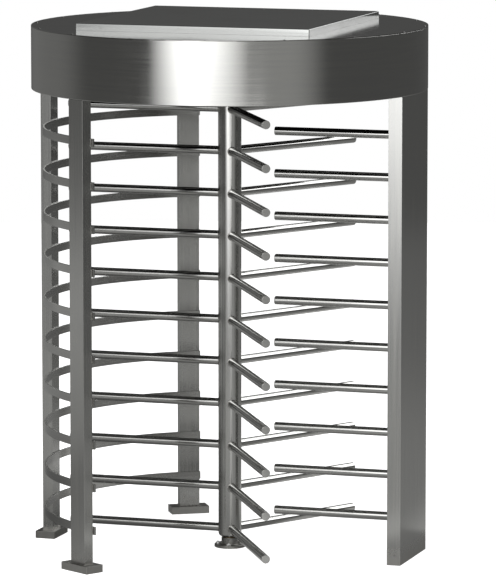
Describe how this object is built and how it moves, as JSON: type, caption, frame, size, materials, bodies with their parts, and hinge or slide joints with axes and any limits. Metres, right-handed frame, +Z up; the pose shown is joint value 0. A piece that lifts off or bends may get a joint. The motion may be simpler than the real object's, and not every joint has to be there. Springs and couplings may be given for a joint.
{
  "type": "full height turnstile",
  "caption": "Full height turnstile with a three-wing tubular rotor, a comb barrier on a wide post, a curved bar cage and a round head canopy with a service cover.",
  "frame": {"origin": "on the floor, on the rotor's axis, at the middle of the base flange's underside", "axes": "+Z up along the rotor's axis, +X from the rotor towards the comb post, -Y towards the walking side that the picture shows"},
  "size_m": [1.7863, 1.766, 2.3915],
  "materials": {
    "brushed_stainless": "brushed stainless steel, satin",
    "canopy_sheet": "smooth stainless sheet, soft mirror reflections",
    "cover_sheet": "smooth stainless sheet",
    "machined_steel": "machined and oiled steel",
    "painted_frame": "dark satin paint",
    "bush_bronze": "bearing bronze"
  },
  "bodies": {
    "frame": {"base_flange": "brushed_stainless", "base_bush": "bush_bronze", "top_bearing": "painted_frame", "head_frame": "painted_frame", "canopy_casing": "canopy_sheet", "canopy_lid": "canopy_sheet", "comb_post": "brushed_stainless", "comb_barrier": "brushed_stainless", "cage_post_middle": "brushed_stainless", "cage_post_front": "brushed_stainless", "cage_post_back": "brushed_stainless", "cage_bar_01": "brushed_stainless", "cage_bar_02": "brushed_stainless", "cage_bar_03": "brushed_stainless", "cage_bar_04": "brushed_stainless", "cage_bar_05": "brushed_stainless", "cage_bar_06": "brushed_stainless", "cage_bar_07": "brushed_stainless", "cage_bar_08": "brushed_stainless", "cage_bar_09": "brushed_stainless", "cage_bar_10": "brushed_stainless"},
    "rotor": {"rotor_column": "brushed_stainless", "rotor_top_shaft": "machined_steel", "index_wheel": "machined_steel", "wing_1_arm_01": "brushed_stainless", "wing_1_arm_02": "brushed_stainless", "wing_1_arm_03": "brushed_stainless", "wing_1_arm_04": "brushed_stainless", "wing_1_arm_05": "brushed_stainless", "wing_1_arm_06": "brushed_stainless", "wing_1_arm_07": "brushed_stainless", "wing_1_arm_08": "brushed_stainless", "wing_1_arm_09": "brushed_stainless", "wing_1_arm_10": "brushed_stainless", "wing_1_arm_11": "brushed_stainless", "wing_2_arm_01": "brushed_stainless", "wing_2_arm_02": "brushed_stainless", "wing_2_arm_03": "brushed_stainless", "wing_2_arm_04": "brushed_stainless", "wing_2_arm_05": "brushed_stainless", "wing_2_arm_06": "brushed_stainless", "wing_2_arm_07": "brushed_stainless", "wing_2_arm_08": "brushed_stainless", "wing_2_arm_09": "brushed_stainless", "wing_2_arm_10": "brushed_stainless", "wing_2_arm_11": "brushed_stainless", "wing_3_arm_01": "brushed_stainless", "wing_3_arm_02": "brushed_stainless", "wing_3_arm_03": "brushed_stainless", "wing_3_arm_04": "brushed_stainless", "wing_3_arm_05": "brushed_stainless", "wing_3_arm_06": "brushed_stainless", "wing_3_arm_07": "brushed_stainless", "wing_3_arm_08": "brushed_stainless", "wing_3_arm_09": "brushed_stainless", "wing_3_arm_10": "brushed_stainless", "wing_3_arm_11": "brushed_stainless"},
    "service_cover": {"service_cover": "cover_sheet"},
    "entry_pawl": {"locking_pawl_entry": "machined_steel"},
    "exit_pawl": {"locking_pawl_exit": "machined_steel"}
  },
  "joints": [
    {"name": "rotor_spin", "type": "hinge", "parent": "frame", "child": "rotor", "pos_m": [0, 0, 0], "axis": [0, 0, 1], "continuous": true},
    {"name": "service_cover_hinge", "type": "hinge", "parent": "frame", "child": "service_cover", "pos_m": [0, 0.544, 2.3678], "axis": [-1, 0, 0], "range_deg": [0, 80]},
    {"name": "entry_pawl_pivot", "type": "hinge", "parent": "frame", "child": "entry_pawl", "pos_m": [-0.07, 0.121, 2.2109], "axis": [0, 0, -1], "range_deg": [0, 12], "stiffness_Nm_per_rad": 0.5},
    {"name": "exit_pawl_pivot", "type": "hinge", "parent": "frame", "child": "exit_pawl", "pos_m": [-0.07, -0.121, 2.2109], "axis": [0, 0, 1], "range_deg": [0, 12], "stiffness_Nm_per_rad": 0.5}
  ]
}
